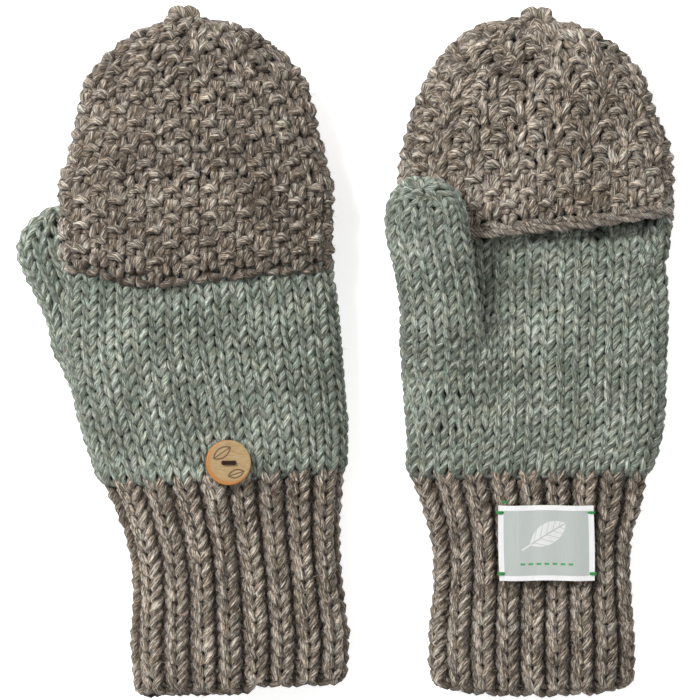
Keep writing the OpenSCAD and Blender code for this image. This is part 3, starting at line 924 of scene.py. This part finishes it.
def make_hand(side, rng):
    """Stocking stitch whose gusset gains three columns towards the thumb."""
    name = SIDE_NAMES[side]
    y = Yarn()
    wrist = wrist_line(side)
    surface = tube_surface(side, HAND[side], INSET_PLAIN, lambda a, b: wrist(a, b) - 0.8, knuckle_line(side),
                           shape=hand_ring)
    middles = -51 + 97 * (np.arange(HAND_ROWS) + 0.5) / HAND_ROWS
    counts = [HAND_COUNT + int(round(extra)) for extra in np.interp(middles, [-40, 0, 9, 14], [0, 3, 3, 0])]
    knit(y, surface, HAND_ROWS, counts, "plain", rng, place=place_gusset, **PLAIN, **LEAN[side])
    shade_lining(y, surface, 1.1, rows=48, cols=96)
    y.fuzz(1000, rng, reach=2.6, avoid=clear_of(side))
    settle(y.build(f"{name}_hand_knit", [SAGE, SAGE_SHADE_LINING]), f"{name}_hand", f"{name}_mitten")


# Stations of each thumb: x, y, depth, half width, half depth, tilt towards the palm, splay
THUMB = (
    ((-93.0, -14, 23.0, 14.8, 6.5, 12, 6), (-95.4, -6, 27.4, 16.4, 6.6, 12, 8),
     (-99.0, 3.5, 31.0, 17.0, 5.8, 8, 9), (-101.8, 14.4, 31.8, 16.8, 5.8, 2, 11.5),
     (-105.2, 24, 32.6, 17.0, 5.8, 0, 11.5), (-109.6, 34.4, 33.4, 17.8, 5.8, 0, 11.5),
     (-112.8, 43.2, 33.6, 17.4, 5.8, 0, 11.5),
     (-114.0, 48.8, 33.6, 14.8, 5.3, 0, 11.5), (-114.9, 53.0, 33.6, 9.8, 4.4, 0, 11.5),
     (-115.4, 55.0, 33.6, 4.5, 3.0, 0, 11.5), (-115.6, 55.7, 33.6, 1.6, 1.2, 0, 11.5)),
    ((37.2, -18, 16.0, 14.0, 7.0, 12, 0), (37.2, -7, 21.0, 15.0, 8.4, 12, 0),
     (37.0, 3, 26.2, 15.6, 9.0, 10, 0), (36.2, 14, 30.6, 15.2, 9.2, 6, 2), (33.4, 33, 34.4, 15.2, 9.2, 2, 6),
     (30.8, 46, 36.0, 15.8, 9.0, 4, 6), (30.0, 54, 36.8, 15.6, 8.8, 12, 2),
     (30.0, 60, 37.8, 13.6, 7.8, 32, -2), (29.8, 62.8, 40.0, 9.4, 5.8, 58, -4),
     (29.4, 62.8, 42.2, 4.6, 3.2, 78, -4),
     (29.0, 62.4, 43.0, 1.4, 1.1, 85, -4)),
)
THUMB_ROW, THUMB_COLUMN = 4.6, 5.9
THUMB_BLEND = ((1, -14.0), (3, 12.0))       # two places over the thumb's joint: the station that gives x, and y
THUMB_BLEND_DEPTH = 25.0


def make_thumb(side, rng):
    """Stocking stitch that starts inside the gusset, runs over the thumb's joint and closes at the tip."""
    name = SIDE_NAMES[side]
    y = Yarn()
    surface = swept_surface(side, THUMB[side], INSET_THUMB)
    rows = round(surface.length / THUMB_ROW)
    girths = [surface.girth((j + 0.5) / rows) for j in range(rows)]
    counts = [int(min(13, max(4, round(girth / THUMB_COLUMN)))) for girth in girths]
    knit(y, surface, rows, counts, "plain", rng, **PLAIN, **LEAN[side])
    shade_lining(y, surface, 0.9, rows=70, cols=64)
    y.fuzz(500, rng, reach=2.6)
    obj = y.build(f"{name}_thumb_knit", [SAGE, SAGE_SHADE_LINING])
    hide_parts(f"{name}_thumb")
    lo, hi = (tuple(stand(side, [THUMB[side][k][0], at, THUMB_BLEND_DEPTH]) * MM) for k, at in THUMB_BLEND)
    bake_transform(obj)


# How each cap differs from the plain dome: y, shift, change of half width
CAP_SHAPE = (
    ((60, 0, 0), (68, 0, 0), (75, 0.6, -2.6), (88, 0.2, -3.4), (98, 0, -2.2), (105, 0, 0), (140, 0, 0)),
    ((60, 0, 0), (80, -0.4, -0.6), (92, -1.2, -1.8), (104, -1.0, -0.8), (112, -0.6, 0.6), (122, -1.6, 1.6),
     (128, -3.0, 3.6), (140, -3.0, 3.6)),
)
CAP_SQUARE = 3.0            # how square the cap's ring is, as the superellipse's exponent
CAP_ENDS = ((34.2, 31.0), CAP_TIP - 1.0)    # where its knitting starts, and the end at the tip
CAP_COLUMN = 7.3
CAP_PAINTED_SHADE_GAIN = (1.4, 1.0)      # how much stronger the painted shade in the cap's gaps is than on the other pieces
SIDE_RISE = 18.0            # how far the mouth's sides stand above the knuckles
LIP_DROP = 18.2             # how far the lip over the palm stands above them
FLAP_SIDE = (-0.2, -0.42)   # how far round the sides the back comes down to the knuckles
SLANT = (0.0, 5.0)          # how much the lip leans
LIP_RISE = (0.0, 3.6)       # how much further it turns up at the little finger
LIP_SAG = (0.0, 0.9)        # how far its edging hangs in the middle


def cap_stations(side):
    """y, half width, back depth and palm depth of the plain dome."""
    out = []
    for y in np.linspace(28, CAP_TIP, 90):
        dome = max(0.0, (y - CAP_WIDE) / (CAP_TIP - CAP_WIDE))
        half = max(CAP_HALF[side] * max(1 - dome ** 2.2, 0) ** (1 / 2.2), 2.5)
        high = max(CAP_DEPTH / 2 * math.sqrt(max(1 - dome ** 2.8, 0)), 2.0)
        out.append((y, half, CAP_DEPTH / 2 - high, CAP_DEPTH / 2 + high))
    return np.array(out)


def lip_slant(side, sx, sz):
    sx = np.asarray(sx, float)
    far = LIP_RISE[side] * smoothstep(0.35, 1.0, sx)
    return (SLANT[side] * sx + far) * smoothstep(-0.9, -0.1, np.asarray(sz, float))


def mouth(a):
    """Where the cap's mouth lies, at an angle round it."""
    aside = np.abs(np.cos(a)) ** 4
    return KNUCKLES + 0.3 + SIDE_RISE * aside + LIP_DROP * (1 + np.sin(a)) / 2 * (1 - aside)


def cap_edge(side, a):
    """Where the cap starts. Unlike the mouth, its back comes down to the knuckles over its whole width."""
    rise = smoothstep(FLAP_SIDE[side], 0.2, np.sin(a))
    return KNUCKLES + (mouth(a) - KNUCKLES) * rise + lip_slant(side, np.cos(a), np.sin(a))


def cap_surface(side):
    stations, shape = cap_stations(side), np.array(CAP_SHAPE[side])
    first, last = CAP_ENDS[0][side], CAP_ENDS[1]
    grid = []
    for q in np.linspace(0, 1, 160):
        y = first + (last - first) * q
        half, back, palm = columns_at(y, stations, (1, 2, 3))
        half, deep = max(half - INSET_MOSS, 1.2), max((palm - back) / 2 - INSET_MOSS, 1.0)
        sx, sz = ring_shares(even_angles(half, deep, CAP_SQUARE), CAP_SQUARE)
        low = lip_slant(side, sx, sz) * (1 - q) ** 2
        shift, change = columns_at(y, shape, (1, 2))
        half = max(half + change, 1.2)
        deep = deep - 1.3 * (1 - smoothstep(0.0, 0.07, q))
        if side == RIGHT:
            # its back reaches furthest down a little to the thumb's side of the middle
            wide = np.where(sx < -0.42, 0.36, 0.80)
            low = low - 6.0 * np.exp(-((sx + 0.42) / wide) ** 2) * (sz < 0) * (1 - q) ** 4
        ring = [CAP_CENTRE[side] + shift + half * sx, y + low, CAP_DEPTH / 2 + deep * sz]
        grid.append(np.stack(ring, axis=1))
    return Surface(stand(side, np.array(grid)), middle=0.6)


def make_cap(side, rng):
    """Moss stitch that starts at the mouth all round, over a dark sheet of painted shade that starts just
    behind it.
    """
    name = SIDE_NAMES[side]
    y = Yarn()
    surface = cap_surface(side)
    girths = [surface.girth((j + 0.5) / CAP_ROWS) for j in range(CAP_ROWS)]
    counts = [int(min(CAP_COUNT, max(6, 2 * round(girth / CAP_COLUMN / 2)))) for girth in girths]
    ring = even_angles(CAP_HALF[side], CAP_DEPTH / 2, CAP_SQUARE)
    ring = np.append(ring, ring[0] - 2 * math.pi)

    def kept(u, v, margin):
        """Whether points lie past the mouth, or on the back."""
        a = np.interp(np.mod(u, 1.0), np.arange(RING + 1) / RING, ring)
        at, _ = surface.at(u, v)
        return (at[:, 1] + PAIR_MIDDLE[1] > cap_edge(side, a) + margin) | (np.sin(a) < FLAP_SIDE[side])

    def clip(j, u):
        return kept(u, np.full(len(u), (j + 0.5) / CAP_ROWS), -0.5)

    knit(y, surface, CAP_ROWS, counts, "moss", rng, jitter=0.06, clip=clip, **MOSS)
    tries = np.linspace(0, 0.5, 200)
    around = np.arange(112) / 112
    start = np.array([tries[int(np.argmax(kept(np.full(200, u), tries, 1.0)))] for u in around])
    v = start[None, :] + (1 - start[None, :]) * np.linspace(0, 1, 44)[:, None]
    p, n = surface.at(np.broadcast_to(around, v.shape), v)
    y.sheet(p - n * 1.2, p - n * (1.2 + SHADE_LINING_THICK))
    y.fuzz(1600, rng)
    y.painted_shade_gain = CAP_PAINTED_SHADE_GAIN[side]
    settle(y.build(f"{name}_cap_knit", [MARL, MARL_SHADE_LINING]), f"{name}_cap", f"{name}_cap")


EDGING_SQUARE = 3.3
EDGING_COUNT = 260
EDGING_INSET = 2.0


def edging_path(side):
    """The line round the cap's mouth over the palm, and its outward directions."""
    a = np.radians(np.linspace(202, -22, EDGING_COUNT))
    sx, sz = ring_shares(a, EDGING_SQUARE)
    p = np.stack([CAP_CENTRE[side] + (CAP_HALF[side] - EDGING_INSET) * sx,
                  mouth(a) - 1.4 - LIP_SAG[side] * (1 - sx ** 2) + lip_slant(side, sx, sz),
                  CAP_DEPTH / 2 + (CAP_DEPTH / 2 - EDGING_INSET) * sz], axis=1)
    out = unit(np.stack([power(sx, 2), 0 * sx - 0.3, sz], axis=1))
    along = travelled(p)
    even = np.linspace(0, along[-1], EDGING_COUNT)
    return stand(side, resample(even, along, p)), turn_only(side, resample(even, along, out))


def make_edging(side, rng):
    """A bound-off chain along the lip, and a rope above and behind it that fills the last row."""
    name = SIDE_NAMES[side]
    y = Yarn()
    p, n = edging_path(side)
    p = p + n * 0.5
    rope(y, p, n, 0.85, 1.1, 19.0, flat=0.7)
    rope(y, p + (0, 2.1, 0) - 1.3 * n, n, 0.7, 1.3, 21.0)
    y.fuzz(160, rng, reach=2.6)
    settle(y.build(f"{name}_cap_edging_chain", [MARL]), f"{name}_cap_edging", f"{name}_cap")


LOOP_OFFSET = (-5.2, 0.6)   # across, from the cap's centre
LOOP_HALF, LOOP_HIGH, LOOP_WAVE = 4.9, 4.6, 0.8


def make_loop(side, rng):
    """The small rounded loop on the tip of the cap."""
    name = SIDE_NAMES[side]
    y = Yarn()
    a = np.radians(np.linspace(200, -20, 60))
    p = np.stack([CAP_CENTRE[side] + LOOP_OFFSET[side] + LOOP_HALF * power(np.cos(a), 0.6),
                  CAP_TIP - 0.6 + LOOP_HIGH * power(np.sin(a), 0.55),
                  CAP_DEPTH / 2 + LOOP_WAVE * np.cos(2 * a)], axis=1)
    n = np.tile([0.0, 0.0, (-1.0, 1.0)[side]], (len(a), 1))
    rope(y, stand(side, p), turn_only(side, n), 1.3, 1.8, 11.0)
    y.fuzz(60, rng, reach=2.4)
    settle(y.build(f"{name}_loop_yarn", [MARL]), f"{name}_loop", f"{name}_loop")


# Each finger tube: its offset across the hand, half width and half depth
FINGERS = (("index", -33.2, 11.1, 6.5), ("middle", -10.0, 11.9, 7.8), ("ring", 13.5, 11.4, 7.7),
           ("little", 34.7, 9.6, 6.3))
FINGER_SQUARE = 2.5
FINGER_START, FINGER_BACK_END, FINGER_PALM_END = 43.0, 55.9, 48.4
BACK_DEPTH, PALM_DEPTH = 4.5, 21.0


def make_fingers(side, rng):
    """Four short tubes under the cap, longer on their backs."""
    centre = HAND[side][-1][1]
    mid = (BACK_DEPTH + PALM_DEPTH) / 2
    for word, offset, half, deep in FINGERS:
        y = Yarn()
        sx, sz = ring_shares(even_angles(half - INSET_TUBE, deep - INSET_TUBE, FINGER_SQUARE), FINGER_SQUARE)
        share = (mid + deep * sz - BACK_DEPTH) / (PALM_DEPTH - BACK_DEPTH)
        end = FINGER_BACK_END + (FINGER_PALM_END - FINGER_BACK_END) * share
        grid = []
        for t in np.linspace(0, 1, 24):
            ring = [centre + offset + (half - INSET_TUBE) * sx, FINGER_START + (end - FINGER_START) * t,
                    mid + (deep - INSET_TUBE) * sz]
            grid.append(np.stack(ring, axis=1))
        surface = Surface(stand(side, np.array(grid)))
        knit(y, surface, 3, [9] * 3, "plain", rng, jitter=0.04, **TUBES)
        shade_lining(y, surface, 0.5, v1=0.93, rows=12, cols=48)
        name = f"{SIDE_NAMES[side]}_{word}_tube"
        settle(y.build(f"{name}_knit", [SAGE, SAGE_SHADE_LINING]), name, f"{SIDE_NAMES[side]}_mitten")


for side in (RIGHT, LEFT):
    rng = np.random.default_rng(11 + side)
    for make in (make_cuff, make_hand, make_thumb, make_cap, make_edging, make_loop, make_fingers):
        make(side, rng)


# ---- button, its thread and the label ----
for side in (RIGHT, LEFT):
    for node, material in (("button", button_material(side)), ("button_thread", BROWN_THREAD)):
        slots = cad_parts[f"{SIDE_NAMES[side]}_{node}"].data.materials
        slots.clear()
        slots.append(material)

LABEL_STEP = 0.25           # between the points of its mesh
LABEL_STATION = CUFF[LEFT][4]
RIB_STEP = 11.2             # between the ribs under the label


def label_height(x):
    """Depth of the label's underside, which follows the cuff's arch and its ribs."""
    _, centre, half, back, palm = LABEL_STATION
    share = np.abs(x - centre) / half
    arch = (back + palm) / 2 + (palm - back) / 2 * np.minimum(1, FLATNESS * (1 - share ** 2.5) ** 0.4)
    return arch + 0.9 + 0.12 * np.cos(2 * math.pi * (x - LABEL_AT[0]) / RIB_STEP)


def make_label():
    """A thin woven sheet, cut a little askew: its lower edge is shifted and its sides bow."""
    nx, ny = int(LABEL_W / LABEL_STEP) + 1, int(LABEL_H / LABEL_STEP) + 1
    gx, gy = np.meshgrid(np.linspace(-0.5, 0.5, nx), np.linspace(-0.5, 0.5, ny))
    bow = 0.25 * np.sin(math.pi * (gy + 0.5)) * np.sign(gx) * (np.abs(gx) > 0.3)
    x = LABEL_AT[0] - 0.3 + LABEL_W * gx + 0.5 * (0.5 - gy) + bow
    y = LABEL_AT[1] + LABEL_H * gy + 0.15 * np.cos(3 * math.pi * gx)
    z = label_height(x)
    thread = 0.035 * np.cos(math.pi * np.arange(nx))[None, :]
    layers = [np.stack([x, y, depth], axis=2).reshape(-1, 3) for depth in (z + LABEL_T + thread, z)]
    at = np.arange(nx * ny).reshape(ny, nx)
    faces = shell_faces(at, (at[0, ::-1], at[-1], at[:, 0], at[::-1, -1]))
    mesh = bpy.data.meshes.new("cuff_label")
    mesh.from_pydata((stand(LEFT, np.concatenate(layers)) * MM).tolist(), [], faces.tolist())
    cloth = np.stack([(gx + 0.5) * LABEL_W, (gy + 0.5) * LABEL_H], axis=2).reshape(-1, 2)
    uv = np.concatenate([cloth, cloth])[faces.ravel()]
    mesh.uv_layers.new(name="Cloth").data.foreach_set("uv", uv.astype(np.float32).ravel())
    mesh.materials.append(label_material())
    obj = link(bpy.data.objects.new("cuff_label", mesh))
    settle(obj, "label", "left_mitten")


TACK_THREAD, KNOT_THREAD = 0.25, 0.16
KNOT_AT = (LABEL_AT[0] - LABEL_W / 2 + 2.2, LABEL_AT[1] + LABEL_H / 2 + 0.9)


def make_tacks():
    """Three short green stitches over the label's edge at each corner, and the thread's knot above one."""
    yarn = Yarn()
    rng = np.random.default_rng(5)

    def stitch(x, y, z, radius):
        upright = np.tile([0.0, 0.0, 1.0], (len(x), 1))
        yarn.tube(stand(LEFT, np.stack([x, y, z], axis=1)), upright, radius, 2.0, closed=False)

    for sx, sy in ((-1, 1), (1, 1), (-1, -1), (1, -1)):
        edge = LABEL_AT[0] - 0.3 + sx * LABEL_W / 2 + 0.25 * (1 - sy)
        for k in range(3):
            y = LABEL_AT[1] + sy * (LABEL_H / 2 - 2.8) + 0.36 * (k - 1) + rng.normal(0, 0.06)
            inner, outer = edge - sx * (2.2 + rng.normal(0, 0.15)), edge + sx * (0.9 + rng.normal(0, 0.1))
            x = np.linspace(inner, outer, 12)
            bend = np.sin(np.linspace(0, math.pi, 12)) * 0.3
            under = label_height(np.clip(x, None, LABEL_AT[0] + LABEL_W / 2)) + LABEL_T
            z = under + 0.1 + bend - 0.9 * smoothstep(0.2, 1.0, sx * (x - edge) / 0.9)
            stitch(x, y + 0 * x, z, TACK_THREAD)
    t = np.linspace(0, 1, 10)
    for turn in np.radians(20 + 140 * np.arange(7) / 6):
        x, y = KNOT_AT[0] + 1.5 * t * math.cos(turn), KNOT_AT[1] + 1.1 * t * math.sin(turn)
        stitch(x, y, label_height(x) + 0.2 + 0.7 * np.sin(math.pi * 0.8 * t), KNOT_THREAD)
    settle(yarn.build("label_tacks", [GREEN_THREAD]), "label_stitches", "left_mitten")


make_label()
make_tacks()

# ---- stage ----
FLOOR_HALF = 12.0
FLOOR_Z = -0.0026           # the lowest loops press about 1 mm into it
CAMERA_HEIGHT = 1.42


def make_floor():
    corners = ((-1, -1), (1, -1), (1, 1), (-1, 1))
    mesh = bpy.data.meshes.new("floor")
    mesh.from_pydata([(FLOOR_HALF * x, FLOOR_HALF * y, FLOOR_Z) for x, y in corners], [], [(0, 1, 2, 3)])
    k = Nodes("floor_paper")
    paper = k.ramp(k.noise(k.place(), 6.0), [(0.3, (0.90, 0.90, 0.90)), (0.7, (0.92, 0.92, 0.92))])
    mesh.materials.append(k.surface(paper, 0.9, Emission_Color=(1, 1, 1, 1), Emission_Strength=0.6))
    link(bpy.data.objects.new("floor", mesh))


def make_light(name, at, size, watts):
    """A square soft light that points at the origin."""
    light = bpy.data.lights.new(name, "AREA")
    light.energy, light.size = watts, size
    obj = link(bpy.data.objects.new(name, light))
    obj.location = at
    obj.rotation_euler = (-Vector(at)).to_track_quat("-Z", "Y").to_euler()


def make_world():
    world = bpy.data.worlds.new("studio")
    bpy.context.scene.world = world
    world.use_nodes = True
    world.node_tree.nodes["Background"].inputs["Color"].default_value = (1, 1, 1, 1)
    world.node_tree.nodes["Background"].inputs["Strength"].default_value = 0.50
    bpy.context.scene.view_settings.view_transform = "Standard"


def make_camera():
    """Straight above the place from which the mittens' own coordinates start."""
    camera = bpy.data.cameras.new("camera")
    camera.lens = 180
    camera.sensor_width = 36
    obj = link(bpy.data.objects.new("camera", camera))
    obj.location = (-PAIR_MIDDLE[0] * MM, -PAIR_MIDDLE[1] * MM, CAMERA_HEIGHT)
    bpy.context.scene.camera = obj


make_floor()
make_light("key", (-0.70, 0.62, 0.95), 0.40, 21.0)
make_light("fill", (0.8, -0.4, 1.3), 1.0, 2.6)
make_world()
make_camera()
